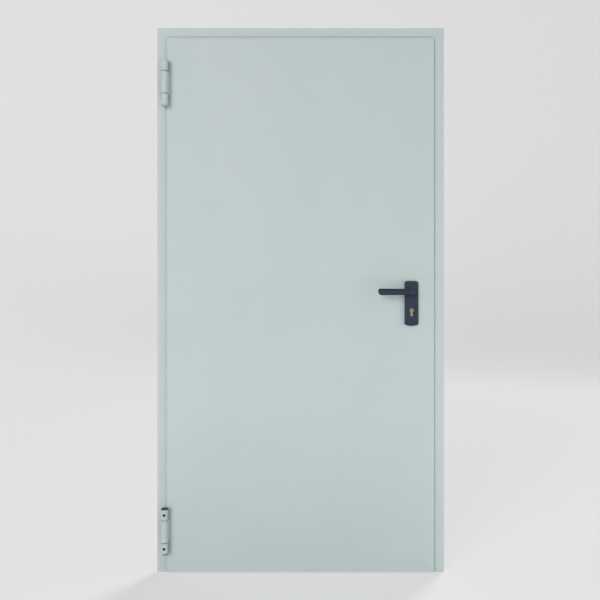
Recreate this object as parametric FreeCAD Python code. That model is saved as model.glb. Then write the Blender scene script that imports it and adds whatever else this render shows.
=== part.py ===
import FreeCAD, Part
import math
import os
from FreeCAD import Vector

# Single-leaf steel utility door in a folded steel frame, millimetres.
# x runs from the hinge side to the lock side, y into the wall, z up from the floor.
# The origin is below the hinge axis, on the wall face that the hinge jamb's flange bears on.

# Frame, an angle and a folded stop, the same for both jambs and the head
frame_width = 1072.0
frame_height = 2035.0
frame_sheet = 2.0
frame_bend = 1.0
flange_width = 52.0
rebate_depth = 46.0
stop_width = 15.0
reveal_depth = 26.0
return_width = 10.0

# Leaf, a front sheet folded into an overlapping lip on three sides, on a deep back tray
leaf_thickness = 45.0
leaf_sheet = 1.0
leaf_bend = 1.0
lip_thickness = 5.0
lip_gap = 5.0
lip_inset_hinge = 37.0
lip_inset_lock = 37.5
lip_inset_top = 39.5
body_gap = 7.0
floor_gap = 5.0
lip_return = 14.0
channel_height = 25.0
channel_sheet = 1.2
core_gap = 1.0

# Rubber seal on the stop
seal_width = 8.0
seal_inset = 4.0
seal_clearance = 5.0

# Hinges
hinge_inset = 32.0
lower_hinge_height = 160.5
upper_hinge_below_top = 212.0
knuckle_diameter = 26.0
knuckle_clearance = 5.0
knuckle_edge = 0.8
end_knuckle_length = 38.5
leaf_knuckle_length = 82.0
ring_thickness = 1.7
ring_gap = 0.3
pin_diameter = 14.0
pin_fit = 0.05
pin_clearance = 0.3
wing_thickness = 10.0
wing_inset = 7.0
cap_thickness = 4.0
cap_edge = 1.5
set_screw_hole = 11.0

# Lock and handle set
spindle_height = 1047.0
backset = 65.0
spindle_size = 9.0
spindle_clearance = 0.1
cylinder_drop = 68.5
plate_width = 50.0
plate_height = 167.0
plate_thickness = 11.0
plate_above_spindle = 41.0
plate_corner = 9.0
plate_bow = 5.5
plate_foot_corner = 6.0
plate_edge = 2.5
lever_neck = 23.0
lever_tip = 24.5
lever_length = 128.0
lever_stand_off = 51.0
lever_bend = 27.0
lever_engagement = 6.0
lever_tip_round = 5.0
lever_tip_top = 8.0
lever_tip_bottom = 15.0
lever_tip_margin = 0.2
running_gap = 0.3
cylinder_radius = 7.8
cylinder_height = 29.5
cylinder_stem = 8.0
cylinder_proud = 1.5
plug_diameter = 12.0
plug_length = 24.0
plug_proud = 0.4
key_width = 2.4
key_height = 8.5
case_width = 95.0
case_thickness = 15.0
case_above_spindle = 62.0
case_height = 165.0
faceplate_width = 24.0
faceplate_height = 235.0
faceplate_thickness = 3.0
faceplate_above_spindle = 82.0
bolt_height = 34.0
bolt_thickness = 12.0
bolt_length = 30.0
bolt_clearance = 0.4
latch_above_spindle = 20.0
dead_bolt_below_spindle = 38.0
latch_bevel = 9.0
slot_margin = 5.0
strike_box_depth = 24.0
strike_box_sheet = 1.0

# Wall fixings through the reveal behind the stop
fixing_hole = 10.5
fixing_depth = 13.0
fixing_first = 200.0
fixing_below_top = 215.0
fixing_count = 4
head_fixing_spacing = 500.0

# Planes and lines that the pieces share
frame_left = -hinge_inset
frame_right = frame_left + frame_width
frame_reach = flange_width + stop_width
flange_front = -frame_sheet
stop_front = flange_front + rebate_depth
reveal_back = stop_front + reveal_depth
rebate_left = frame_left + flange_width
rebate_right = frame_right - flange_width
rebate_top = frame_height - flange_width
lip_back = flange_front - lip_gap
leaf_front = lip_back - lip_thickness
leaf_back = leaf_front + leaf_thickness
lip_left = frame_left + lip_inset_hinge
lip_right = frame_right - lip_inset_lock
lip_top = frame_height - lip_inset_top
body_left = rebate_left + body_gap
body_right = rebate_right - body_gap
body_top = rebate_top - body_gap
leaf_bottom = floor_gap
upper_hinge_height = frame_height - upper_hinge_below_top
axis_y = leaf_front - knuckle_clearance - knuckle_diameter / 2
spindle_x = body_right - backset
cylinder_z = spindle_height - cylinder_drop
lock_y = (lip_back + leaf_back) / 2
plate_front = leaf_front - plate_thickness
plate_back = leaf_back + plate_thickness
latch_z = spindle_height + latch_above_spindle
dead_bolt_z = spindle_height - dead_bolt_below_spindle
fixing_pitch = (frame_height - fixing_below_top - fixing_first) / (fixing_count - 1)
through = 10.0


def box(x0, x1, y0, y1, z0, z1):
    return Part.makeBox(x1 - x0, y1 - y0, z1 - z0, Vector(x0, y0, z0))


def rounded_path(points, radii):
    # Lines from point to point, with an arc of its own radius at each inner point
    edges = []
    start = points[0]
    for before, corner, after, radius in zip(points, points[1:], points[2:], radii):
        arrive = (corner - before).normalize()
        leave = (after - corner).normalize()
        half_turn = arrive.getAngle(leave) / 2
        inward = (leave - arrive).normalize()
        arc_start = corner - arrive * (radius * math.tan(half_turn))
        arc_end = corner + leave * (radius * math.tan(half_turn))
        arc_middle = corner + inward * (radius / math.cos(half_turn) - radius)
        edges.append(Part.LineSegment(start, arc_start).toShape())
        edges.append(Part.Arc(arc_start, arc_middle, arc_end).toShape())
        start = arc_end
    edges.append(Part.LineSegment(start, points[-1]).toShape())
    return edges


def folded_section(path, sheet, bend):
    # Section of a folded sheet: the path is its seen side, and the sheet lies to the path's left
    seen = [Vector(a, b, 0) for a, b in path]
    headings = [(b - a).normalize() for a, b in zip(seen, seen[1:])]
    lefts = [Vector(0, 0, 1).cross(heading) for heading in headings]
    hidden = [seen[0] + lefts[0] * sheet]
    for corner, left, next_left in zip(seen[1:], lefts, lefts[1:]):
        hidden.append(corner + (left + next_left) * (sheet / (1 + left.dot(next_left))))
    hidden.append(seen[-1] + lefts[-1] * sheet)
    turns_left = [a.cross(b).z > 0 for a, b in zip(headings, headings[1:])]
    seen_radii = [bend + sheet if left else bend for left in turns_left]
    hidden_radii = [bend if left else bend + sheet for left in turns_left]
    edges = rounded_path(seen, seen_radii)
    edges.append(Part.LineSegment(seen[-1], hidden[-1]).toShape())
    edges += rounded_path(hidden[::-1], hidden_radii[::-1])
    edges.append(Part.LineSegment(hidden[0], seen[0]).toShape())
    return Part.Face(Part.Wire(edges))


def mitred_bar(section, length, mitre_start, mitre_end):
    # Bar along z with its outer edge at x = 0, cut at 45 degrees where another bar meets it
    bar = section.extrude(Vector(0, 0, length))
    start_height = frame_reach if mitre_start else 0.0
    end_height = length - frame_reach if mitre_end else length
    corners = [(0, 0), (0, length), (frame_reach, end_height), (frame_reach, start_height)]
    outline = [Vector(x, flange_front - through, z) for x, z in corners]
    keep = Part.Face(Part.makePolygon(outline + outline[:1]))
    return bar.common(keep.extrude(Vector(0, reveal_back - flange_front + 2 * through, 0)))


def place_round_the_opening(section):
    # The same section as hinge-side bar, lock-side bar and head bar
    upright = mitred_bar(section, frame_height, False, True)
    across = mitred_bar(section, frame_width, True, True)
    hinge_side = upright.translated(Vector(frame_left, 0, 0))
    middle = Vector((frame_left + frame_right) / 2, 0, 0)
    lock_side = hinge_side.mirror(middle, Vector(1, 0, 0))
    across.rotate(Vector(0, 0, 0), Vector(0, 1, 0), 90)
    head = across.translated(Vector(frame_left, 0, frame_height))
    return hinge_side, lock_side, head


def rod(diameter, start, direction, length):
    return Part.makeCylinder(diameter / 2, length, start, direction)


def edges_where(shape, test):
    # Straight edges whose two ends both pass the test
    straight = [e for e in shape.Edges if len(e.Vertexes) == 2]
    return [e for e in straight if all(test(v.Point) for v in e.Vertexes)]


def near(a, b):
    return abs(a - b) < 1e-6


def angle_section():
    # Flange on the wall face, and web into the wall beside the leaf's edge
    path = [(0, flange_front), (flange_width, flange_front), (flange_width, stop_front)]
    return folded_section(path, frame_sheet, frame_bend)


def stop_section():
    # Stop across the end of the web, reveal behind it, and a short return at the back
    path = [
        (flange_width - frame_sheet, stop_front),
        (frame_reach, stop_front),
        (frame_reach, reveal_back),
        (frame_reach - return_width, reveal_back),
    ]
    return folded_section(path, frame_sheet, frame_bend)


def strike_slot(z):
    half_y = bolt_thickness / 2 + slot_margin
    half_z = bolt_height / 2 + slot_margin
    x0 = rebate_right - through
    x1 = rebate_right + frame_sheet + through
    return box(x0, x1, lock_y - half_y, lock_y + half_y, z - half_z, z + half_z)


def make_frame():
    hinge_jamb, lock_jamb, head = place_round_the_opening(angle_section())
    hinge_stop, lock_stop, head_stop = place_round_the_opening(stop_section())
    fixing_y = stop_front + fixing_depth
    reach = frame_reach + through
    for index in range(fixing_count):
        z = fixing_first + index * fixing_pitch
        hinge_start = Vector(frame_left + reach, fixing_y, z)
        lock_start = Vector(frame_right - reach, fixing_y, z)
        hinge_stop = hinge_stop.cut(rod(fixing_hole, hinge_start, Vector(-1, 0, 0), 2 * through))
        lock_stop = lock_stop.cut(rod(fixing_hole, lock_start, Vector(1, 0, 0), 2 * through))
    for side in (-1, 1):
        x = (frame_left + frame_right + side * head_fixing_spacing) / 2
        head_start = Vector(x, fixing_y, frame_height - reach)
        head_stop = head_stop.cut(rod(fixing_hole, head_start, Vector(0, 0, 1), 2 * through))
    for z in (latch_z, dead_bolt_z):
        lock_jamb = lock_jamb.cut(strike_slot(z))
    return {
        "hinge_jamb": hinge_jamb,
        "lock_jamb": lock_jamb,
        "frame_head": head,
        "hinge_side_stop": hinge_stop,
        "lock_side_stop": lock_stop,
        "head_stop": head_stop,
    }


def make_strike_box():
    # Folded cover behind both strike slots, open towards the leaf
    half_y = bolt_thickness / 2 + slot_margin + strike_box_sheet
    half_z = bolt_height / 2 + slot_margin + strike_box_sheet
    web = rebate_right + frame_sheet
    back = web + strike_box_depth
    y0 = lock_y - half_y
    y1 = lock_y + half_y
    z0 = dead_bolt_z - half_z
    z1 = latch_z + half_z
    t = strike_box_sheet
    shell = box(web, back, y0, y1, z0, z1)
    hollow = box(web - t, back - t, y0 + t, y1 - t, z0 + t, z1 - t)
    return {"strike_box": shell.cut(hollow)}


def make_seals():
    # Half-round rubber bead on a flat foot
    radius = seal_width / 2
    u0 = flange_width + seal_inset
    crown = leaf_back + seal_clearance
    shoulder = crown + radius
    foot_left = Vector(u0, stop_front, 0)
    foot_right = Vector(u0 + seal_width, stop_front, 0)
    left = Vector(u0, shoulder, 0)
    right = Vector(u0 + seal_width, shoulder, 0)
    edges = [
        Part.LineSegment(foot_left, foot_right).toShape(),
        Part.LineSegment(foot_right, right).toShape(),
        Part.Arc(right, Vector(u0 + radius, crown, 0), left).toShape(),
        Part.LineSegment(left, foot_left).toShape(),
    ]
    section = Part.Face(Part.Wire(edges))
    hinge_side, lock_side, head = place_round_the_opening(section)
    return {"hinge_side_seal": hinge_side, "lock_side_seal": lock_side, "head_seal": head}


def cylinder_prism(y0, y1, extra):
    # Profile cylinder outline: a round body on a narrower stem, grown by extra on all sides
    radius = cylinder_radius + extra
    half = cylinder_stem / 2 + extra
    neck = math.sqrt(radius**2 - half**2)
    foot = cylinder_height - cylinder_radius - cylinder_stem / 2
    centre = Vector(spindle_x, y0, cylinder_z)
    left_neck = centre + Vector(-half, 0, -neck)
    right_neck = centre + Vector(half, 0, -neck)
    left_foot = centre + Vector(-half, 0, -foot)
    right_foot = centre + Vector(half, 0, -foot)
    edges = [
        Part.Arc(left_neck, centre + Vector(0, 0, radius), right_neck).toShape(),
        Part.LineSegment(right_neck, right_foot).toShape(),
        Part.Arc(right_foot, centre + Vector(0, 0, -foot - half), left_foot).toShape(),
        Part.LineSegment(left_foot, left_neck).toShape(),
    ]
    return Part.Face(Part.Wire(edges)).extrude(Vector(0, y1 - y0, 0))


def spindle_rod(diameter, y0, y1):
    return rod(diameter, Vector(spindle_x, y0, spindle_height), Vector(0, 1, 0), y1 - y0)


def lip_form(inset):
    # The lip's box, bent round its front and back edges on three sides
    x0 = lip_left + inset
    x1 = lip_right - inset
    z1 = lip_top - inset
    z0 = leaf_bottom if inset == 0 else leaf_bottom - through
    form = box(x0, x1, leaf_front + inset, lip_back - inset, z0, z1)
    sides = edges_where(form, lambda p: near(p.x, x0))
    sides += edges_where(form, lambda p: near(p.x, x1))
    upright = [e for e in sides if near(e.Vertexes[0].Point.y, e.Vertexes[1].Point.y)]
    top = edges_where(form, lambda p: near(p.z, z1))
    level = [e for e in top if near(e.Vertexes[0].Point.y, e.Vertexes[1].Point.y)]
    return form.makeFillet(leaf_bend + leaf_sheet - inset, upright + level)


def faceplate_prism(x0, x1, extra):
    # Lock faceplate outline with round ends
    radius = faceplate_width / 2 + extra
    z1 = spindle_height + faceplate_above_spindle + extra
    z0 = z1 - faceplate_height - 2 * extra
    plate = box(x0, x1, lock_y - radius, lock_y + radius, z0 + radius, z1 - radius)
    for z in (z0 + radius, z1 - radius):
        plate = plate.fuse(rod(2 * radius, Vector(x0, lock_y, z), Vector(1, 0, 0), x1 - x0))
    return plate.removeSplitter()


def make_leaf_shell():
    # The front sheet's lip turns back inwards, and the tray's side walls stand on that return
    t = leaf_sheet
    window_left = body_left + lip_return
    window_right = body_right - lip_return
    window_top = body_top - lip_return
    below = leaf_bottom - through
    window = box(window_left, window_right, lip_back - 2 * t, lip_back + through, below, window_top)
    front = lip_form(0).cut(lip_form(t)).cut(window)

    tray = box(body_left, body_right, lip_back, leaf_back, leaf_bottom, body_top)
    rim = edges_where(tray, lambda p: near(p.y, leaf_back))
    rim = [e for e in rim if e.CenterOfMass.z > leaf_bottom]
    tray = tray.makeFillet(leaf_bend + t, rim)
    inner = box(body_left + t, body_right - t, lip_back - through, leaf_back - t, below, body_top - t)
    inner_rim = edges_where(inner, lambda p: near(p.y, leaf_back - t))
    inner_rim = [e for e in inner_rim if e.CenterOfMass.z > leaf_bottom]
    lock_notch = faceplate_prism(body_right - through, body_right + through, running_gap)
    tray = tray.cut(inner.makeFillet(leaf_bend, inner_rim)).cut(lock_notch)

    spindle_hole = spindle_rod(lever_neck, leaf_front - through, leaf_back + through)
    cylinder_hole = cylinder_prism(leaf_front - through, leaf_back + through, 2 * running_gap)
    front = front.cut(spindle_hole).cut(cylinder_hole)
    tray = tray.cut(spindle_hole).cut(cylinder_hole)

    core_left = window_left + core_gap
    core_right = window_right - core_gap
    channel_path = [
        (leaf_back - t, leaf_bottom),
        (leaf_back - t, leaf_bottom + channel_height),
        (leaf_front + t, leaf_bottom + channel_height),
        (leaf_front + t, leaf_bottom),
    ]
    channel = folded_section(channel_path, channel_sheet, leaf_bend)
    channel = channel.extrude(Vector(0, 0, core_right - core_left))
    turn = FreeCAD.Matrix(0, 0, 1, core_left, 1, 0, 0, 0, 0, 1, 0, 0)
    channel = channel.transformGeometry(turn)

    core_bottom = leaf_bottom + channel_height + core_gap
    core_top = window_top - core_gap
    core = box(core_left, core_right, leaf_front + t, leaf_back - t, core_bottom, core_top)
    core = core.cut(case_block(core_gap)).cut(spindle_hole).cut(cylinder_hole)
    return {
        "leaf_front_sheet": front,
        "leaf_back_tray": tray,
        "leaf_bottom_channel": channel,
        "leaf_core": core,
    }


def case_block(extra):
    x1 = body_right - faceplate_thickness
    half = case_thickness / 2 + extra
    z1 = spindle_height + case_above_spindle + extra
    z0 = z1 - case_height - 2 * extra
    return box(x1 - case_width - extra, x1, lock_y - half, lock_y + half, z0, z1)


def bolt_block(z, extra, x1):
    half_y = bolt_thickness / 2 + extra
    half_z = bolt_height / 2 + extra
    x0 = body_right - bolt_length - extra
    return box(x0, x1, lock_y - half_y, lock_y + half_y, z - half_z, z + half_z)


def make_lock():
    case = case_block(0)
    case = case.cut(spindle_rod(math.sqrt(2) * spindle_size + 2 * running_gap, leaf_front, leaf_back))
    case = case.cut(cylinder_prism(leaf_front, leaf_back, running_gap))
    faceplate = faceplate_prism(body_right - faceplate_thickness, body_right, 0)
    for z in (latch_z, dead_bolt_z):
        pocket = bolt_block(z, bolt_clearance, body_right + through)
        case = case.cut(pocket)
        faceplate = faceplate.cut(pocket)
    latch = bolt_block(latch_z, 0, body_right)
    tip_y = lock_y + bolt_thickness / 2
    bevel = [
        Vector(body_right, tip_y - latch_bevel, latch_z - bolt_height),
        Vector(body_right, tip_y, latch_z - bolt_height),
        Vector(body_right - latch_bevel, tip_y, latch_z - bolt_height),
    ]
    wedge = Part.Face(Part.makePolygon(bevel + bevel[:1])).extrude(Vector(0, 0, 2 * bolt_height))
    return {
        "lock_case": case,
        "lock_faceplate": faceplate,
        "latch_bolt": latch.cut(wedge),
        "dead_bolt": bolt_block(dead_bolt_z, 0, body_right),
    }


def make_cylinder():
    y0 = plate_front - cylinder_proud
    y1 = plate_back + cylinder_proud
    body = cylinder_prism(y0, y1, 0)
    plugs = []
    for end, way in ((y0, 1), (y1, -1)):
        inward = Vector(0, way, 0)
        start = Vector(spindle_x, end, cylinder_z)
        body = body.cut(rod(plug_diameter + 2 * running_gap, start, inward, plug_length))
        plug = rod(plug_diameter, start - inward * plug_proud, inward, plug_length + plug_proud)
        slot = Part.makeBox(key_width, plug_length, key_height)
        slot.translate(start - Vector(key_width / 2, plug_length / 2, key_height / 2))
        plugs.append(plug.cut(slot))
    return {"profile_cylinder": body, "cylinder_plugs": Part.makeCompound(plugs)}


def handle_plate(y0, y1, outer):
    # Plate standing on the leaf, square at the top and bowed at the foot, with its outer edge rounded over
    x0 = spindle_x - plate_width / 2
    x1 = spindle_x + plate_width / 2
    z1 = spindle_height + plate_above_spindle
    z0 = z1 - plate_height
    foot_z = z0 + plate_bow
    left_foot = Vector(x0, y0, foot_z)
    right_foot = Vector(x1, y0, foot_z)
    top_right = Vector(x1, y0, z1)
    top_left = Vector(x0, y0, z1)
    edges = rounded_path([right_foot, top_right, top_left, left_foot], [plate_corner] * 2)
    edges.append(Part.Arc(left_foot, Vector(spindle_x, y0, z0), right_foot).toShape())
    plate = Part.Face(Part.Wire(edges)).extrude(Vector(0, y1 - y0, 0))
    feet = edges_where(plate, lambda p: near(p.z, foot_z))
    feet = [e for e in feet if not near(e.Vertexes[0].Point.y, e.Vertexes[1].Point.y)]
    plate = plate.makeFillet(plate_foot_corner, feet)
    plate = plate.makeFillet(plate_edge, edges_where(plate, lambda p: near(p.y, outer)))
    plate = plate.cut(spindle_rod(lever_neck + 2 * running_gap, y0 - through, y1 + through))
    return plate.cut(cylinder_prism(y0 - through, y1 + through, running_gap))


def lever(face, way):
    # Round bar that leaves the plate square, bends through 90 degrees and thickens towards its tip
    neck_y = face + way * (plate_thickness - lever_engagement)
    grip_y = face + way * lever_stand_off
    tip_x = spindle_x - lever_length
    neck = Vector(spindle_x, neck_y, spindle_height)
    elbow = Vector(spindle_x, grip_y, spindle_height)
    bend_end = elbow - Vector(lever_bend, 0, 0)
    path = Part.Wire(rounded_path([neck, elbow, bend_end - Vector(1, 0, 0)], [lever_bend]))
    section = Part.Wire(Part.makeCircle(lever_neck / 2, neck, Vector(0, way, 0)))
    bar = path.makePipeShell([section], True, False)
    radius = lever_tip / 2
    grip_length = lever_length - lever_bend
    grip = Part.makeCone(lever_neck / 2, radius, grip_length, bend_end, Vector(-1, 0, 0))
    tip_rim = [e for e in grip.Edges if near(e.CenterOfMass.x, tip_x)]
    bar = bar.fuse(grip.makeFillet(lever_tip_round, tip_rim[:1])).removeSplitter()

    # Side view of the tip: a small radius above and a large one below
    reach = radius + lever_tip_margin
    past = spindle_x + lever_tip
    end = tip_x - lever_tip_margin
    z0 = spindle_height - reach
    z1 = spindle_height + reach
    y0 = min(neck_y, grip_y) - reach
    y1 = max(neck_y, grip_y) + reach
    side_view = [Vector(past, y0, z1), Vector(end, y0, z1), Vector(end, y0, z0), Vector(past, y0, z0)]
    edges = rounded_path(side_view, [lever_tip_top, lever_tip_bottom])
    edges.append(Part.LineSegment(side_view[-1], side_view[0]).toShape())
    bar = bar.common(Part.Face(Part.Wire(edges)).extrude(Vector(0, y1 - y0, 0)))
    return bar.cut(spindle_block(spindle_clearance))


def spindle_block(extra):
    # Square bar that joins the two levers through the lock
    half = spindle_size / 2 + extra
    bite = lever_stand_off - lever_bend
    y0 = leaf_front - bite
    y1 = leaf_back + bite
    return box(spindle_x - half, spindle_x + half, y0, y1, spindle_height - half, spindle_height + half)


def make_handles():
    return {
        "outer_handle_plate": handle_plate(plate_front, leaf_front, plate_front),
        "inner_handle_plate": handle_plate(leaf_back, plate_back, plate_back),
        "outer_lever": lever(leaf_front, -1),
        "inner_lever": lever(leaf_back, 1),
        "spindle": spindle_block(0),
    }


def hinge_rod(diameter, z0, z1):
    return rod(diameter, Vector(0, axis_y, z0), Vector(0, 0, 1), z1 - z0)


def knuckle(z0, z1, wing_x0, wing_x1, wing_y, bore):
    # Barrel with a flat wing running straight back to its seat
    barrel = hinge_rod(knuckle_diameter, z0, z1)
    barrel = barrel.makeChamfer(knuckle_edge, [e for e in barrel.Edges if len(e.Vertexes) == 1])
    wing = box(wing_x0, wing_x1, axis_y, wing_y, z0, z1)
    return barrel.fuse(wing).removeSplitter().cut(hinge_rod(bore, z0 - through, z1 + through))


def make_hinge(name, height, with_set_screws):
    # Two barrels on the frame, one on the leaf between them, and a pin through all three
    radius = knuckle_diameter / 2
    half_leaf = leaf_knuckle_length / 2
    ring_end = half_leaf + ring_gap + ring_thickness
    half_hinge = ring_end + end_knuckle_length
    tight_bore = pin_diameter + 2 * pin_fit
    barrels = []
    rings = []
    caps = []
    for way in (-1, 1):
        z0, z1 = sorted((height + way * ring_end, height + way * half_hinge))
        barrel = knuckle(z0, z1, -radius, wing_thickness - radius, flange_front, tight_bore)
        if with_set_screws:
            hole_start = Vector(0, axis_y, (z0 + z1) / 2)
            barrel = barrel.cut(rod(set_screw_hole, hole_start, Vector(0, -1, 0), knuckle_diameter))
        barrels.append(barrel)
        r0, r1 = sorted((height + way * (half_leaf + ring_gap), height + way * ring_end))
        rings.append(hinge_rod(knuckle_diameter, r0, r1).cut(hinge_rod(tight_bore, r0, r1)))
        end = height + way * half_hinge
        c0, c1 = sorted((end, end + way * cap_thickness))
        cap = hinge_rod(knuckle_diameter, c0, c1)
        outer_rim = [e for e in cap.Edges if near(e.CenterOfMass.z, end + way * cap_thickness)]
        caps.append(cap.makeFillet(cap_edge, outer_rim[:1]))
    leaf_bore = pin_diameter + 2 * pin_clearance
    z0 = height - half_leaf
    z1 = height + half_leaf
    leaf_knuckle = knuckle(z0, z1, wing_inset, radius, leaf_front, leaf_bore)
    return {
        name + "_hinge_frame_knuckles": Part.makeCompound(barrels),
        name + "_hinge_leaf_knuckle": leaf_knuckle,
        name + "_hinge_rings": Part.makeCompound(rings),
        name + "_hinge_pin": hinge_rod(pin_diameter, height - half_hinge, height + half_hinge),
        name + "_hinge_caps": Part.makeCompound(caps),
    }


pieces = {}
pieces.update(make_frame())
pieces.update(make_strike_box())
pieces.update(make_seals())
pieces.update(make_leaf_shell())
pieces.update(make_lock())
pieces.update(make_cylinder())
pieces.update(make_handles())
pieces.update(make_hinge("upper", upper_hinge_height, False))
pieces.update(make_hinge("lower", lower_hinge_height, True))

os.makedirs("parts", exist_ok=True)
for node, shape in pieces.items():
    shape.exportStep("parts/" + node + ".step")
    print(node, len(shape.Solids), round(shape.Volume), shape.isValid())
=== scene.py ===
import math

import bmesh
import bpy
import numpy as np
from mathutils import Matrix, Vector


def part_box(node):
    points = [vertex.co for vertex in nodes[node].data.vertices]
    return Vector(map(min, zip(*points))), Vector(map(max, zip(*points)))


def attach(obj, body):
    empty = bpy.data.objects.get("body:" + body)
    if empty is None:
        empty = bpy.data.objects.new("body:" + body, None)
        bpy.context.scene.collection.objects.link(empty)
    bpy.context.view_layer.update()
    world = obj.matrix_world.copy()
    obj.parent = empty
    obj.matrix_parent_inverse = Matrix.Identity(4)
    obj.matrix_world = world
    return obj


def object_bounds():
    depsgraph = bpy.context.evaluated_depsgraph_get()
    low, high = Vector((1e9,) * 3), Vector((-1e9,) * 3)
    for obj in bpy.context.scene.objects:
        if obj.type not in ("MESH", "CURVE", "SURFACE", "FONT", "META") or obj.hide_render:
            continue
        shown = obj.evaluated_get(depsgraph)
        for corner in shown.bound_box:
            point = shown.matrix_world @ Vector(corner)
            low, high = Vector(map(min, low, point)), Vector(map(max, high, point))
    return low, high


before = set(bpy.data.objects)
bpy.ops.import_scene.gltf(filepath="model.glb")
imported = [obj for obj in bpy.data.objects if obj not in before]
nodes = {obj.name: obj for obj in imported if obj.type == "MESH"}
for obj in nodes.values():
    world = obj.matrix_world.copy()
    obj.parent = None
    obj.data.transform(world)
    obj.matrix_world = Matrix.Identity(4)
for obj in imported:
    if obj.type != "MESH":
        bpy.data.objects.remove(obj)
cadLow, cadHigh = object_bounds()
doorMiddle = (cadLow + cadHigh) / 2
print("door frame loaded:", len(nodes), "nodes")


class Field:
    # one value that changes over a surface; sums written on it become Math nodes
    def __init__(self, look, socket):
        self.look = look
        self.socket = socket

    def sum(self, operation, first, second=0.0):
        return self.look.add("ShaderNodeMath", {"operation": operation}, {0: first, 1: second}, "Value")

    def __add__(self, other):
        return self.sum("ADD", self, other)

    def __sub__(self, other):
        return self.sum("SUBTRACT", self, other)

    def __rsub__(self, other):
        return self.sum("SUBTRACT", other, self)

    def __mul__(self, other):
        return self.sum("MULTIPLY", self, other)

    def __truediv__(self, other):
        return self.sum("DIVIDE", self, other)

    def __pow__(self, other):
        return self.sum("POWER", self, other)

    def __abs__(self):
        return self.sum("ABSOLUTE", self)

    __radd__ = __add__

    def least(self, other):
        return self.sum("MINIMUM", self, other)

    def most(self, other):
        return self.sum("MAXIMUM", self, other)

    def rise(self, low, high):
        # smooth step from 0 at low to 1 at high, also downwards when low is the larger
        ends = {"Value": self, "From Min": low, "From Max": high}
        return self.look.add("ShaderNodeMapRange", {"interpolation_type": "SMOOTHSTEP"}, ends, "Result")


class Look:
    # one finish: add() makes any node, the other methods are short ways to the ones used most
    def __init__(self, name):
        self.material = bpy.data.materials.new(name)
        self.material.use_nodes = True
        self.tree = self.material.node_tree
        self.shader = self.tree.nodes["Principled BSDF"]
        self.place = self.add("ShaderNodeTexCoord", {}, {}, "Object")
        self.x, self.y, self.z = [
            self.add("ShaderNodeSeparateXYZ", {}, {0: self.place}, axis) for axis in "XYZ"
        ]

    def add(self, kind, settings, sockets, output):
        node = self.tree.nodes.new(kind)
        for name, value in settings.items():
            setattr(node, name, value)
        self.feed(node, sockets)
        return Field(self, self.find(node.outputs, output))

    def find(self, sockets, key):
        if isinstance(key, int):
            return sockets[key]
        return next(s for s in sockets if key in (s.identifier, s.name))

    def feed(self, node, sockets):
        for key, value in sockets.items():
            socket = self.find(node.inputs, key)
            if isinstance(value, Field):
                self.tree.links.new(value.socket, socket)
            elif socket.type == "RGBA":
                socket.default_value = (*value, 1.0)
            else:
                socket.default_value = value

    def noise(self, scale, detail, roughness, where=None):
        sockets = {"Vector": where or self.place, "Scale": scale, "Detail": detail, "Roughness": roughness}
        return self.add("ShaderNodeTexNoise", {}, sockets, "Fac")

    def patches(self, scale, detail, roughness, low, high):
        # islands cut from a noise: none of it below low, all of it above high
        return self.noise(scale, detail, roughness).rise(low, high)

    def streaks(self, factors, detail, roughness):
        # noise with a scale of its own on each axis, for brushed lines, grooves and scuffs
        sockets = {0: self.place, 1: factors}
        where = self.add("ShaderNodeVectorMath", {"operation": "MULTIPLY"}, sockets, "Vector")
        return self.noise(1.0, detail, roughness, where)

    def cells(self, scale, output, feature="F1"):
        sockets = {"Vector": self.place, "Scale": scale}
        return self.add("ShaderNodeTexVoronoi", {"feature": feature}, sockets, output)

    def tint(self, amount, under, over):
        sockets = {"Factor_Float": amount, "A_Color": under, "B_Color": over}
        return self.add("ShaderNodeMix", {"data_type": "RGBA"}, sockets, "Result_Color")

    def bump(self, height, distance):
        sockets = {"Height": height, "Distance": distance, "Strength": 1.0}
        return self.add("ShaderNodeBump", {}, sockets, "Normal")

    def finish(self, **sockets):
        # socket names written as one word: baseColor is Base Color
        for word, value in sockets.items():
            spaced = "".join(" " + c if c.isupper() else c for c in word).title()
            self.feed(self.shader, {spaced.replace("Ior", "IOR"): value})
        return self.material


# in every finish a noise is scale, detail and roughness; patches add the band that is cut from it;
# streaks have one scale for each axis; other pairs say where a mark starts and where it is full;
# lengths are in metres
handRub = {
    "halfWidth": 0.13,
    "halfHeight": 0.085,
    "edge": (1.0, 0.05),  # squared distance, 1 on the oval
    "patches": (38.0, 4.0, 0.65, 0.38, 0.70),
    "chalkShare": 0.22,
    "shine": 0.10,
}


def makeHandRub(look, x, z):
    # hands rub the coat round the lever: a soft oval patch, broken by noise
    p = handRub
    reach = ((look.x - x) / p["halfWidth"]) ** 2.0 + ((look.z - z) / p["halfHeight"]) ** 2.0
    return reach.rise(*p["edge"]) * look.patches(*p["patches"])


mitreSeam = {"halfWidth": (0.0011, 0.0003), "faceDepth": (0.072, 0.068), "share": 0.16}


def makeMitreSeam(look, left, right, top):
    # the welded corner joint shows as a hair line on the 45 degree cut
    p = mitreSeam
    leftCut = abs((look.x - left) - (top - look.z))
    rightCut = abs((right - look.x) - (top - look.z))
    onFace = look.z.rise(*(top - depth for depth in p["faceDepth"]))
    return leftCut.least(rightCut).rise(*p["halfWidth"]) * onFace * p["share"]


# painted shade in a soft line on the frame's head above the lip of the leaf
ledgePaintedShade = {
    "halfHeight": (0.013, 0.004),
    "endFade": 0.004,
    "face": (-0.0004, -0.0016),  # only on the outside of the sheet
    "film": 0.16,
    "grain": (24.0, 3.0, 0.5),
    "grainShare": 0.24,
}


def makeLedgePaintedShade(look, left, right, top):
    # painted shade: a soft darker line on the head just above the lip of the leaf, where the proud lip keeps
    # light off
    p = ledgePaintedShade
    fade = p["endFade"]
    above = abs(look.z - top).rise(*p["halfHeight"])
    across = look.x.rise(left - fade, left + fade) * look.x.rise(right + fade, right - fade)
    outside = look.y.rise(*p["face"])
    return above * across * outside * (p["film"] + look.noise(*p["grain"]) * p["grainShare"])


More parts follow.
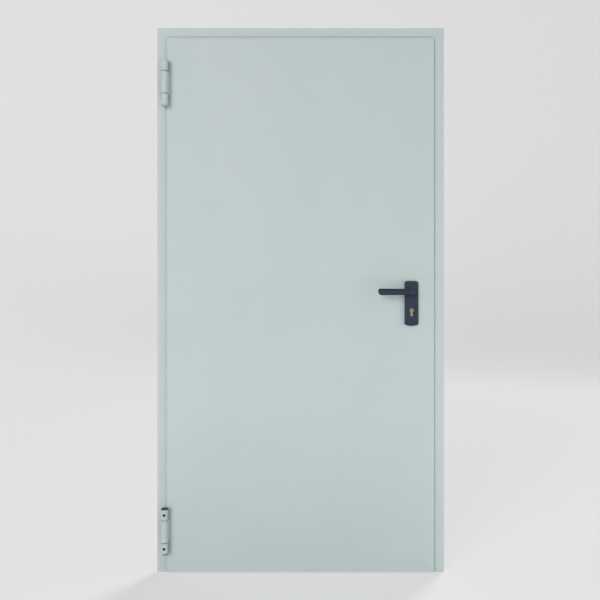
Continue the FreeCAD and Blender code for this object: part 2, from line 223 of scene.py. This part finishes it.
jointRub = {
    "halfHeight": (0.0040, 0.0008),
    "film": 0.30,
    "grain": (140.0, 2.0, 0.5),
    "grainShare": 0.5,
    "share": 0.55,
}


def makeJointRub(look, height):
    # turning knuckles rub a darker line beside each joint
    p = jointRub
    rub = abs(look.z - height).rise(*p["halfHeight"])
    return rub * (p["film"] + look.noise(*p["grain"]) * p["grainShare"]) * p["share"]


doorPaint = {
    "color": (0.520, 0.597, 0.600),
    "cloud": (0.500, 0.578, 0.582),  # slow patches in the coat
    # the grime colour, also used for the painted shade above the lip of the leaf
    "grimeAndShade": (0.330, 0.345, 0.310),
    "chalk": (0.640, 0.690, 0.680),  # dry rub marks
    "roughness": 0.50,
    "cloudPatches": (2.6, 4.0, 0.62, 0.36, 0.68),
    "cloudShare": 0.6,
    "cloudRoughness": 0.03,
    "speck": (60.0, 2.0, 0.5),
    "speckRoughness": 0.10,
    "lowTop": 0.42,  # darker and rougher towards the bottom, fading out at this height
    "lowEvenShare": 0.01,
    "lowPatchShare": 0.08,
    "dustRoughness": 0.9,
    "lowPatches": (9.0, 5.0, 0.68, 0.42, 0.75),
    "scuffStreaks": ((6.0, 6.0, 95.0), 3.0, 0.6),
    "scuffBand": (0.63, 0.72),
    "scuffHeights": (0.30, 0.04),
    "scuffShare": 0.16,
    "peel": (520.0, 1.0, 0.5),  # orange peel, and a broader one under it
    "broadPeel": (182.0, 1.0, 0.5),
    "broadShare": 0.6,
    "peelHeight": 0.000050,
}


def makeDoorPaint(name, lever=None, mitre=None, shadedLedge=None, rings=()):
    # powder coat: slow clouding, orange peel, darker and rougher towards the bottom, marks where the piece is
    # handled, and on the frame a painted shade above the lip of the leaf
    p = doorPaint
    look = Look(name)
    cloud = look.patches(*p["cloudPatches"])
    color = look.tint(cloud * p["cloudShare"], p["color"], p["cloud"])
    lowPatch = look.patches(*p["lowPatches"])
    # darker and rougher towards the bottom, evenly and in patches
    dust = look.z.rise(p["lowTop"], 0.0) * (p["lowEvenShare"] + lowPatch * p["lowPatchShare"])
    scuff = look.streaks(*p["scuffStreaks"]).rise(*p["scuffBand"])
    scuff = scuff * look.z.rise(*p["scuffHeights"]) * p["scuffShare"]
    color = look.tint(dust + scuff, color, p["grimeAndShade"])
    speck = (look.noise(*p["speck"]) - 0.5) * p["speckRoughness"]
    roughness = p["roughness"] + speck + dust * p["dustRoughness"] + cloud * p["cloudRoughness"]
    if lever:
        hands = makeHandRub(look, *lever)
        color = look.tint(hands * handRub["chalkShare"], color, p["chalk"])
        roughness = roughness - hands * handRub["shine"]
    if mitre:
        color = look.tint(makeMitreSeam(look, *mitre), color, p["grimeAndShade"])
    if shadedLedge:
        # painted shade above the lip of the leaf, tinted towards the grime colour
        color = look.tint(makeLedgePaintedShade(look, *shadedLedge), color, p["grimeAndShade"])
    for height in rings:
        color = look.tint(makeJointRub(look, height), color, p["grimeAndShade"])
    peel = look.noise(*p["peel"]) + look.noise(*p["broadPeel"]) * p["broadShare"]
    normal = look.bump(peel, p["peelHeight"])
    return look.finish(baseColor=color, roughness=roughness, normal=normal)


handlePlastic = {
    "color": (0.009, 0.021, 0.040),
    "worn": (0.018, 0.034, 0.058),
    "dust": (0.110, 0.125, 0.140),
    "gloss": 0.38,
    "roughness": 0.52,
    "grain": (1500.0, 2.0, 0.6),
    "grainShare": 0.25,
    "grainRoughness": 0.12,
    "grainHeight": 0.000030,
    "polishPatches": (30.0, 4.0, 0.6, 0.40, 0.66),
    "polishShare": 0.45,
    "polishShine": 0.12,
    "dustPatches": (210.0, 3.0, 0.7, 0.60, 0.78),
    "dustShare": 0.14,
    "dustRoughness": 0.6,
}


def makeHandlePlastic(name):
    # moulded nylon: fine spark-eroded grain, polished patches and a trace of dust
    p = handlePlastic
    look = Look(name)
    grain = look.noise(*p["grain"])
    uneven = grain - 0.5
    polish = look.patches(*p["polishPatches"])
    dust = look.patches(*p["dustPatches"]) * p["dustShare"]
    color = look.tint(polish * p["polishShare"] + uneven * p["grainShare"], p["color"], p["worn"])
    color = look.tint(dust, color, p["dust"])
    roughness = p["roughness"] - polish * p["polishShine"] + uneven * p["grainRoughness"]
    roughness = roughness + dust * p["dustRoughness"]
    normal = look.bump(grain, p["grainHeight"])
    return look.finish(baseColor=color, roughness=roughness, specularIorLevel=p["gloss"], normal=normal)


hingeCap = {
    "change": 0.01,  # painted below the hinge's middle, bare nylon above, with this fade between
    "shadedSide": (-0.013, 0.002),  # from left to right across the cap
    "shadedShare": 0.9,
    "paintPatches": (420.0, 3.0, 0.6, 0.18, 0.40),
    "paintRoughness": 0.06,
    "wornShare": 0.3,
    "grainShare": 0.5,
    "roughness": 0.46,
}


def makeHingeCap(name, middle):
    # the upper plug is bare nylon; the lower one takes the door's paint colour in patches on its left and
    # fades to black on its right side, away from the key lamp: painted light and shade
    p = hingeCap
    nylon = handlePlastic
    look = Look(name)
    grain = look.noise(*nylon["grain"])
    uneven = grain - 0.5
    below = look.z.rise(middle + p["change"], middle - p["change"])
    # painted light and shade: pale paint towards the lit left of the lower plug, black towards its right
    paintedShade = look.x.rise(*p["shadedSide"]) * p["shadedShare"]
    painted = below * (1.0 - paintedShade) * look.patches(*p["paintPatches"])
    color = look.tint(uneven * p["grainShare"] + p["wornShare"], nylon["color"], nylon["worn"])
    color = look.tint(painted, color, doorPaint["color"])
    roughness = p["roughness"] + uneven * nylon["grainRoughness"] + painted * p["paintRoughness"]
    normal = look.bump(grain, nylon["grainHeight"])
    return look.finish(baseColor=color, roughness=roughness, normal=normal)


bearingSteel = {
    "color": (0.30, 0.31, 0.30),
    "oil": (0.060, 0.058, 0.050),
    "roughness": 0.34,
    "grooves": ((60.0, 60.0, 9000.0), 2.0, 0.5),
    "grooveRoughness": 0.16,
    "grooveHeight": 0.000008,
    "oilPatches": (160.0, 4.0, 0.65, 0.34, 0.66),
    "oilShare": 0.7,
    "oilShine": 0.08,
}


def makeBearingSteel(name):
    # turned rings between the knuckles: fine grooves round the axis, dark with old oil
    p = bearingSteel
    look = Look(name)
    groove = look.streaks(*p["grooves"])
    oil = look.patches(*p["oilPatches"])
    color = look.tint(oil * p["oilShare"], p["color"], p["oil"])
    roughness = p["roughness"] + groove * p["grooveRoughness"] - oil * p["oilShine"]
    normal = look.bump(groove, p["grooveHeight"])
    return look.finish(baseColor=color, metallic=1.0, roughness=roughness, normal=normal)


cylinderBrass = {
    "color": (0.41, 0.345, 0.235),
    "tarnish": (0.24, 0.18, 0.11),
    "roughness": 0.26,
    "tarnishPatches": (170.0, 4.0, 0.65, 0.46, 0.72),
    "tarnishShare": 0.65,
    "tarnishRoughness": 0.20,
    "turning": ((900.0, 5000.0, 900.0), 2.0, 0.5),
    "turningRoughness": 0.10,
    "turningHeight": 0.000012,
}


def makeCylinderBrass(name):
    # turned brass: fine marks across the bore line, tarnish patches
    p = cylinderBrass
    look = Look(name)
    tarnish = look.patches(*p["tarnishPatches"])
    turning = look.streaks(*p["turning"])
    color = look.tint(tarnish * p["tarnishShare"], p["color"], p["tarnish"])
    roughness = p["roughness"] + tarnish * p["tarnishRoughness"] + turning * p["turningRoughness"]
    normal = look.bump(turning, p["turningHeight"])
    return look.finish(baseColor=color, metallic=1.0, roughness=roughness, normal=normal)


zincSteel = {
    "pale": (0.64, 0.65, 0.66),
    "dark": (0.44, 0.46, 0.48),
    "rust": (0.22, 0.13, 0.08),
    "roughness": 0.30,
    "spangle": 130.0,  # cells a metre
    "spangleRoughness": 0.16,
    "spangleHeight": 0.000015,
    "seamWidth": (0.06, 0.0),
    "seamRoughness": 0.08,
    "seamShare": 0.5,  # of the spangle's height
    "bloomPatches": (40.0, 4.0, 0.6, 0.50, 0.80),
    "bloomRoughness": 0.22,
    "bloomDull": 0.35,
    "rustPatches": (95.0, 5.0, 0.7, 0.68, 0.80),
    "rustShare": 0.35,
}


def makeZincSteel(name):
    # hot-dip zinc: each spangle cell has its own tone, with dull seams, white bloom and a few rust spots
    p = zincSteel
    look = Look(name)
    cellColor = look.cells(p["spangle"], "Color")
    tone = look.add("ShaderNodeSeparateColor", {}, {0: cellColor}, "Red")
    seam = look.cells(p["spangle"], "Distance", "DISTANCE_TO_EDGE").rise(*p["seamWidth"])
    bloom = look.patches(*p["bloomPatches"])
    color = look.tint(tone, p["dark"], p["pale"])
    color = look.tint(look.patches(*p["rustPatches"]) * p["rustShare"], color, p["rust"])
    roughness = p["roughness"] + tone * p["spangleRoughness"] + seam * p["seamRoughness"]
    roughness = roughness + bloom * p["bloomRoughness"]
    metallic = 1.0 - bloom * p["bloomDull"]
    normal = look.bump(tone + seam * p["seamShare"], p["spangleHeight"])
    return look.finish(baseColor=color, metallic=metallic, roughness=roughness, normal=normal)


faceplateSteel = {
    "color": (0.60, 0.60, 0.585),
    "dull": (0.40, 0.40, 0.39),
    "roughness": 0.28,
    "lines": ((2600.0, 2600.0, 24.0), 3.0, 0.6),
    "lineShare": 0.4,
    "lineRoughness": 0.18,
    "lineHeight": 0.000010,
    "stainPatches": (70.0, 4.0, 0.6, 0.48, 0.74),
    "stainShare": 0.4,
    "stainRoughness": 0.12,
}


def makeFaceplateSteel(name):
    # brushed along its length: noise drawn out upright
    p = faceplateSteel
    look = Look(name)
    lines = look.streaks(*p["lines"])
    stain = look.patches(*p["stainPatches"])
    color = look.tint(lines * p["lineShare"] + stain * p["stainShare"], p["color"], p["dull"])
    roughness = p["roughness"] + lines * p["lineRoughness"] + stain * p["stainRoughness"]
    normal = look.bump(lines, p["lineHeight"])
    return look.finish(baseColor=color, metallic=1.0, roughness=roughness, normal=normal)


sealRubber = {
    "color": (0.022, 0.022, 0.024),
    "bloom": (0.085, 0.085, 0.082),
    "roughness": 0.62,
    "bloomPatches": (55.0, 5.0, 0.66, 0.44, 0.76),
    "bloomShare": 0.7,
    "bloomRoughness": 0.16,
    "skin": (900.0, 2.0, 0.5),
    "skinRoughness": 0.12,
    "skinHeight": 0.00003,
}


def makeSealRubber(name):
    # extruded rubber: a fine uneven skin with grey bloom on it
    p = sealRubber
    look = Look(name)
    bloom = look.patches(*p["bloomPatches"])
    skin = look.noise(*p["skin"])
    color = look.tint(bloom * p["bloomShare"], p["color"], p["bloom"])
    roughness = p["roughness"] + bloom * p["bloomRoughness"] + (skin - 0.5) * p["skinRoughness"]
    normal = look.bump(skin, p["skinHeight"])
    return look.finish(baseColor=color, roughness=roughness, normal=normal)


honeycombBoard = {
    "paper": (0.48, 0.36, 0.22),
    "fibre": (0.36, 0.26, 0.15),
    "roughness": 0.82,
    "cell": 62.0,  # cells a metre
    "wallWidth": (0.10, 0.03),
    "wallShare": 0.5,
    "wallHeight": 0.0006,
    "fibres": (420.0, 4.0, 0.7),
    "fibreShare": 0.4,
    "fibreRoughness": 0.1,
    "fibreHeight": 0.2,  # share of the wall's height
}


def makeHoneycombBoard(name):
    # kraft paper cells
    p = honeycombBoard
    look = Look(name)
    wall = look.cells(p["cell"], "Distance", "DISTANCE_TO_EDGE").rise(*p["wallWidth"])
    fibre = look.noise(*p["fibres"])
    color = look.tint(wall * p["wallShare"] + fibre * p["fibreShare"], p["paper"], p["fibre"])
    roughness = p["roughness"] + fibre * p["fibreRoughness"]
    normal = look.bump(wall + fibre * p["fibreHeight"], p["wallHeight"])
    return look.finish(baseColor=color, roughness=roughness, normal=normal)


blackScrew = {
    "color": (0.030, 0.032, 0.036),
    "bare": (0.30, 0.29, 0.28),
    "roughness": 0.40,
    "metallic": 0.85,
    "wornPatches": (380.0, 4.0, 0.7, 0.58, 0.74),
    "wornShare": 0.6,
    "wornDull": 0.1,
    "smear": (800.0, 2.0, 0.5),
    "smearRoughness": 0.15,
    "grain": (1400.0, 2.0, 0.5),
    "grainHeight": 0.00001,
}


def makeBlackScrew(name):
    # oxide-blackened steel, bare in some patches
    p = blackScrew
    look = Look(name)
    worn = look.patches(*p["wornPatches"])
    color = look.tint(worn * p["wornShare"], p["color"], p["bare"])
    metallic = p["metallic"] - worn * p["wornDull"]
    roughness = p["roughness"] + look.noise(*p["smear"]) * p["smearRoughness"]
    normal = look.bump(look.noise(*p["grain"]), p["grainHeight"])
    return look.finish(baseColor=color, metallic=metallic, roughness=roughness, normal=normal)


leverLow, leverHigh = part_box("outer_lever")
leverSpot = ((leverLow.x + leverHigh.x) / 2, (leverLow.z + leverHigh.z) / 2)
jambLow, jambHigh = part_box("hinge_jamb")
frameCorners = (jambLow.x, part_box("lock_jamb")[1].x, jambHigh.z)
lipLow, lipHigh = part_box("leaf_front_sheet")
lipEdge = (lipLow.x, lipHigh.x, lipHigh.z)
hingeJoints = []
for hinge in ("upper", "lower"):
    knuckleLow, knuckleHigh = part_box(hinge + "_hinge_leaf_knuckle")
    hingeJoints += [knuckleLow.z, knuckleHigh.z]
lowerHingeMiddle = sum(hingeJoints[-2:]) / 2

looks = {
    "leafPaint": makeDoorPaint("leafPaint", lever=leverSpot),
    # the frame's paint carries a painted shade above the lip of the leaf
    "framePaint": makeDoorPaint("framePaint", mitre=frameCorners, shadedLedge=lipEdge),
    "hingePaint": makeDoorPaint("hingePaint", rings=hingeJoints),
    "handlePlastic": makeHandlePlastic("handlePlastic"),
    "hingeCap": makeHingeCap("hingeCap", lowerHingeMiddle),
    "bearingSteel": makeBearingSteel("bearingSteel"),
    "cylinderBrass": makeCylinderBrass("cylinderBrass"),
    "zincSteel": makeZincSteel("zincSteel"),
    "faceplateSteel": makeFaceplateSteel("faceplateSteel"),
    "sealRubber": makeSealRubber("sealRubber"),
    "honeycombBoard": makeHoneycombBoard("honeycombBoard"),
    "blackScrew": makeBlackScrew("blackScrew"),
}
wearing = {
    "leafPaint": ("leaf_front_sheet", "leaf_back_tray"),
    "framePaint": ("hinge_jamb", "lock_jamb", "frame_head", "hinge_side_stop", "lock_side_stop", "head_stop"),
    "hingePaint": (
        "upper_hinge_frame_knuckles", "upper_hinge_leaf_knuckle", "upper_hinge_caps",
        "lower_hinge_frame_knuckles", "lower_hinge_leaf_knuckle",
    ),
    "handlePlastic": ("outer_handle_plate", "inner_handle_plate", "outer_lever", "inner_lever"),
    "hingeCap": ("lower_hinge_caps",),
    "bearingSteel": ("upper_hinge_rings", "lower_hinge_rings"),
    "cylinderBrass": ("profile_cylinder", "cylinder_plugs"),
    "zincSteel": ("strike_box", "leaf_bottom_channel", "lock_case", "spindle"),
    "faceplateSteel": ("lock_faceplate", "latch_bolt", "dead_bolt", "upper_hinge_pin", "lower_hinge_pin"),
    "sealRubber": ("hinge_side_seal", "lock_side_seal", "head_seal"),
    "honeycombBoard": ("leaf_core",),
}
for lookName, members in wearing.items():
    for member in members:
        for materialSlot in nodes[member].material_slots:
            materialSlot.material = looks[lookName]
dressed = sum(len(members) for members in wearing.values())
print("finishes on", dressed, "of", len(nodes), "nodes")


def gridFaces(rows, columns, first):
    # four-sided faces between neighbouring rows, the last column joining the first
    row, column = np.meshgrid(np.arange(rows - 1), np.arange(columns), indexing="ij")
    after = (column + 1) % columns
    this = row * columns
    following = this + columns
    corners = [this + column, this + after, following + after, following + column]
    return np.stack(corners, axis=-1).reshape(-1, 4) + first


def fanFaces(ring, pole):
    # triangles from a closed ring of vertices to one pole vertex
    return np.stack([np.roll(ring, -1), ring, np.full(len(ring), pole)], axis=-1)


def closedTubes(name, tubes, look, body, sharpDegrees=40.0):
    # each tube is a rows x columns x 3 grid, closed at both ends by a pole in the middle of its end row
    points = []
    faces = []
    count = 0
    for tube in tubes:
        rows, columns = tube.shape[:2]
        poles = np.stack([tube[0].mean(0), tube[-1].mean(0)])
        points.append(np.concatenate([tube.reshape(-1, 3), poles]))
        ring = np.arange(columns)
        lastRing = ring + (rows - 1) * columns
        faces += gridFaces(rows, columns, count).tolist()
        faces += (fanFaces(ring, rows * columns) + count).tolist()
        faces += (fanFaces(lastRing[::-1], rows * columns + 1) + count).tolist()
        count += len(points[-1])
    mesh = bpy.data.meshes.new(name)
    mesh.from_pydata(np.concatenate(points).tolist(), [], faces)
    shell = bmesh.new()
    shell.from_mesh(mesh)
    bmesh.ops.recalc_face_normals(shell, faces=shell.faces)
    shell.to_mesh(mesh)
    shell.free()
    mesh.polygons.foreach_set("use_smooth", np.ones(len(mesh.polygons), bool))
    mesh.set_sharp_from_angle(angle=math.radians(sharpDegrees))
    mesh.materials.append(looks[look])
    piece = bpy.data.objects.new(name, mesh)
    bpy.context.scene.collection.objects.link(piece)
    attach(piece, body)


hingeWeld = {
    "radius": 0.0028,
    "ripple": 0.10,
    "pitch": 0.0034,
    "rowsPerRipple": 7,
    "around": 16,
    "endInset": 0.0015,
    "endLeast": 0.02,  # share of the radius where the round end starts
    "droop": 0.0008,  # ripples lean, as a bead laid upwards does
    "sharpDegrees": 60.0,
    "frameWing": 0.010,  # how wide the wings stand on the sheet
    "leafWing": 0.006,
}


def weldBead(x, y, zLow, zHigh):
    # bead: a circle carried up the joint, its radius swelling with each ripple and closing round at both ends
    w = hingeWeld
    start = zLow + w["endInset"]
    end = zHigh - w["endInset"]
    z = np.linspace(start, end, int((end - start) / w["pitch"] * w["rowsPerRipple"]))[:, None]
    turn = np.linspace(0.0, 2.0 * np.pi, w["around"], endpoint=False)[None, :]
    toEnd = np.minimum(z - start, end - z)
    closing = np.sqrt(1.0 - (1.0 - np.clip(toEnd / w["radius"], w["endLeast"], 1.0)) ** 2)
    radius = w["radius"] * closing * (1.0 + w["ripple"] * np.sin(2.0 * np.pi * (z - start) / w["pitch"]))
    droop = w["droop"] * np.cos(turn)
    return np.stack([x + radius * np.cos(turn), y + radius * np.sin(turn), z + droop * closing], axis=-1)


for hinge in ("upper", "lower"):
    leafLow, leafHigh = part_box(hinge + "_hinge_leaf_knuckle")
    frameLow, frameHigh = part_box(hinge + "_hinge_frame_knuckles")
    ringLow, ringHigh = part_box(hinge + "_hinge_rings")
    wingRight = frameLow.x + hingeWeld["frameWing"]
    leafWingLeft = leafHigh.x - hingeWeld["leafWing"]
    spans = ((frameLow.z, ringLow.z), (ringHigh.z, frameHigh.z))
    sharp = hingeWeld["sharpDegrees"]
    frameBeads = [weldBead(x, frameHigh.y, *span) for span in spans for x in (frameLow.x, wingRight)]
    closedTubes(hinge + "_hinge_frame_welds", frameBeads, "hingePaint", "frame", sharp)
    leafBeads = [weldBead(x, leafHigh.y, leafLow.z, leafHigh.z) for x in (leafWingLeft, leafHigh.x)]
    closedTubes(hinge + "_hinge_leaf_welds", leafBeads, "hingePaint", "leaf", sharp)
print("hinge welds laid")


screwHead = {"around": 72, "floorShares": (0.55, 0.9), "armPower": 8}


def screwTubes(screw, rim, side, out, spots):
    # rings of (radius, height) from the recess floor outwards, turned so that side lies across the screw
    # and out along it; the recess follows the rim, which has its own radius at each turn
    turn = np.linspace(0.0, 2.0 * np.pi, screwHead["around"], endpoint=False)
    recess = rim(turn)
    rings = [(recess * share, -screw["depth"]) for share in screwHead["floorShares"]]
    rings += [(recess, 0.0), *screw["profile"]]
    radius = np.stack([r * np.ones_like(turn) for r, h in rings])
    height = np.array([h for r, h in rings])[:, None, None] * np.array(out)
    across = (radius * np.cos(turn))[:, :, None] * np.array(side)
    up = (radius * np.sin(turn))[:, :, None] * np.array((0.0, 0.0, 1.0))
    return [np.array(spot) + across + up + height for spot in spots]


def hexRim(across):
    # distance from the centre to a hexagon's side at each turn
    return lambda turn: across / 2.0 / np.cos(np.mod(turn, np.pi / 3.0) - np.pi / 6.0)


def crossRim(reach, waist):
    # four arms: the rim swells at every quarter turn
    return lambda turn: waist + (reach - waist) * np.abs(np.cos(2.0 * turn)) ** screwHead["armPower"]


hingeSetScrew = {
    "profile": ((0.0047, 0.0), (0.0053, -0.0006), (0.0053, -0.0030)),
    "across": 0.0052,
    "depth": 0.0026,
    "sink": 0.0022,
}
s = hingeSetScrew
lowerLow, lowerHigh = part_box("lower_hinge_frame_knuckles")
lowerRingLow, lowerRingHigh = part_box("lower_hinge_rings")
levels = ((lowerLow.z + lowerRingLow.z) / 2, (lowerRingHigh.z + lowerHigh.z) / 2)
spots = [(0.0, lowerLow.y + s["sink"], z) for z in levels]
setScrews = screwTubes(s, hexRim(s["across"]), (1.0, 0.0, 0.0), (0.0, -1.0, 0.0), spots)
closedTubes("lower_hinge_set_screws", setScrews, "blackScrew", "frame")

plateScrew = {
    "profile": ((0.00336, -0.0003), (0.0042, -0.0010), (0.0042, -0.0020)),
    "reach": 0.0023,
    "waist": 0.0008,
    "depth": 0.0013,
    "drop": 0.016,
    "proud": 0.0012,
}
s = plateScrew
plateLow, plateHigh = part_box("inner_handle_plate")
levels = (plateHigh.z - s["drop"], plateLow.z + s["drop"])
spots = [((plateLow.x + plateHigh.x) / 2, plateHigh.y + s["proud"], z) for z in levels]
plateRim = crossRim(s["reach"], s["waist"])
plateScrews = screwTubes(s, plateRim, (1.0, 0.0, 0.0), (0.0, 1.0, 0.0), spots)
closedTubes("inner_plate_screws", plateScrews, "blackScrew", "leaf")

faceScrew = {
    "profile": ((0.0036, -0.0001), (0.0040, -0.0004), (0.0032, -0.0016)),
    "reach": 0.0022,
    "waist": 0.0008,
    "depth": 0.0011,
    "drop": 0.012,
    "proud": 0.0004,
}
s = faceScrew
faceLow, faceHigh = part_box("lock_faceplate")
levels = (faceHigh.z - s["drop"], faceLow.z + s["drop"])
spots = [(faceHigh.x + s["proud"], (faceLow.y + faceHigh.y) / 2, z) for z in levels]
faceRim = crossRim(s["reach"], s["waist"])
faceScrews = screwTubes(s, faceRim, (0.0, 1.0, 0.0), (1.0, 0.0, 0.0), spots)
closedTubes("faceplate_screws", faceScrews, "zincSteel", "leaf")
print("screws set")

studio = {
    "floorRings": (0.001, 0.5, 2.0, 6.0),  # radii, the last one where the cove starts
    "drop": 0.0005,  # the floor lies just under the door
    "coveRadius": 3.6,
    "coveSteps": 24,
    "wallHeight": 12.0,
    "around": 128,
    "color": (0.84, 0.85, 0.86),
    "shade": 0.97,  # the darker tone of the mottled paper
    "mottle": (0.8, 3.0, 0.5),
    "mottleShare": 0.5,
    "roughness": 0.95,
    "glow": (0.95, 0.95, 0.95),
    "glowShare": 0.5,
    "sky": (1.02, 1.0, 0.93),  # a trace of warmth in the shadows
    "skyLevel": 0.225,
}


def studioRing(name, radius, height):
    # a profile of radius and height spun once round the door's middle
    turn = np.linspace(0.0, 2.0 * np.pi, studio["around"], endpoint=False)
    x = doorMiddle.x + np.outer(radius, np.cos(turn))
    y = doorMiddle.y + np.outer(radius, np.sin(turn))
    points = np.stack([x, y, np.outer(height, np.ones_like(turn))], axis=-1)
    faces = gridFaces(len(radius), studio["around"], 0)
    mesh = bpy.data.meshes.new(name)
    mesh.from_pydata(points.reshape(-1, 3).tolist(), [], faces.tolist())
    mesh.polygons.foreach_set("use_smooth", np.ones(len(mesh.polygons), bool))
    piece = bpy.data.objects.new(name, mesh)
    bpy.context.scene.collection.objects.link(piece)
    return piece


# the paper is lifted towards a pale glow for the camera and in reflections only
paper = Look("studioPaper")
mottle = paper.noise(*studio["mottle"]) * studio["mottleShare"]
paperColor = paper.tint(mottle, studio["color"], tuple(c * studio["shade"] for c in studio["color"]))
paperLook = paper.finish(baseColor=paperColor, roughness=studio["roughness"])
seen = paper.add("ShaderNodeLightPath", {}, {}, "Is Camera Ray")
mirrored = paper.add("ShaderNodeLightPath", {}, {}, "Is Glossy Ray")
glow = paper.add("ShaderNodeEmission", {}, {"Color": studio["glow"]}, "Emission")
shaded = Field(paper, paper.shader.outputs["BSDF"])
lift = seen.most(mirrored) * studio["glowShare"]
lifted = paper.add("ShaderNodeMixShader", {}, {0: lift, 1: shaded, 2: glow}, "Shader")
paper.feed(paper.tree.nodes["Material Output"], {"Surface": lifted})

floorRadius = np.array(studio["floorRings"])
floor = studioRing("studioFloor", floorRadius, np.zeros(len(floorRadius)) - studio["drop"])
bend = np.linspace(0.0, np.pi / 2.0, studio["coveSteps"])
coveRadius = floorRadius[-1] + studio["coveRadius"] * np.sin(bend)
coveHeight = studio["coveRadius"] * (1.0 - np.cos(bend)) - studio["drop"]
wallRadius = np.append(coveRadius, coveRadius[-1])
wall = studioRing("studioWall", wallRadius, np.append(coveHeight, studio["wallHeight"]))
wall.visible_diffuse = False  # the sky lights the door through it
wall.visible_shadow = False
paperShade = bpy.data.collections.new("paperShade")
for ground in (floor, wall):
    ground.data.materials.append(paperLook)
    paperShade.objects.link(ground)
for shadedPaper in paperShade.collection_objects:
    shadedPaper.light_linking.link_state = "EXCLUDE"

world = bpy.data.worlds.new("studioSky")
bpy.context.scene.world = world
world.use_nodes = True
sky = world.node_tree.nodes["Background"]
sky.inputs["Color"].default_value = (*studio["sky"], 1.0)
sky.inputs["Strength"].default_value = studio["skyLevel"]

softBoxes = {
    # a tall window of light: upright edges throw crisp shadows, level bars soft ones
    "keyLamp": {"watts": 2390.0, "place": (-9.4, -18.0, 5.0), "size": (10.0, 14.0)},
    # low at the lock side, so that the shadow of the lip stays open there
    "sideLamp": {"watts": 13.0, "place": (2.8, -1.2, 0.2), "size": (0.8, 1.0), "shade": paperShade},
    # low at the hinge side, so that the foot of the door is as light as its head
    "footLamp": {"watts": 2.4, "place": (-0.3, -1.5, 0.15), "size": (1.2, 0.3), "shade": paperShade},
}
softSuns = {
    "fillLamp": {"level": 0.55, "towards": (-0.95, 0.65, -0.18), "spread": 45.0},
    "backLamp": {"level": 2.1, "towards": (-0.6, -1.0, -0.55), "spread": 25.0},
}


def hangLamp(name, lamp, towards, place=(0.0, 0.0, 0.0)):
    # puts a lamp at its place, shining along towards
    piece = bpy.data.objects.new(name, lamp)
    bpy.context.scene.collection.objects.link(piece)
    piece.location = place
    piece.rotation_euler = towards.to_track_quat("-Z", "Y").to_euler()
    return piece


def softBox(name, watts, place, size, shade=None):
    # a rectangular lamp that the camera does not see, turned towards the middle of the door;
    # shade holds what its light is kept off
    lamp = bpy.data.lights.new(name, "AREA")
    lamp.energy = watts
    lamp.shape = "RECTANGLE"
    lamp.size, lamp.size_y = size
    piece = hangLamp(name, lamp, doorMiddle - Vector(place), place)
    piece.visible_camera = False
    if shade:
        piece.light_linking.receiver_collection = shade


def softSun(name, level, towards, spread):
    # a broad even lamp: parallel light with a wide angle, so that shadows are soft
    # and near and far sides are lit alike
    lamp = bpy.data.lights.new(name, "SUN")
    lamp.energy = level
    lamp.angle = math.radians(spread)
    hangLamp(name, lamp, Vector(towards))


for name, settings in softBoxes.items():
    softBox(name, **settings)
for name, settings in softSuns.items():
    softSun(name, **settings)

photoView = {"place": (0.5016, -2.602, 1.0174), "lens": 41.67, "sensor": 36.0}
camera = bpy.data.objects.new("photoCamera", bpy.data.cameras.new("photoCamera"))
camera.data.lens = photoView["lens"]
camera.data.sensor_width = photoView["sensor"]
camera.location = photoView["place"]
camera.rotation_euler = (math.pi / 2.0, 0.0, 0.0)
bpy.context.scene.collection.objects.link(camera)
bpy.context.scene.camera = camera
bpy.context.scene.view_settings.view_transform = "Standard"
print("studio lit")
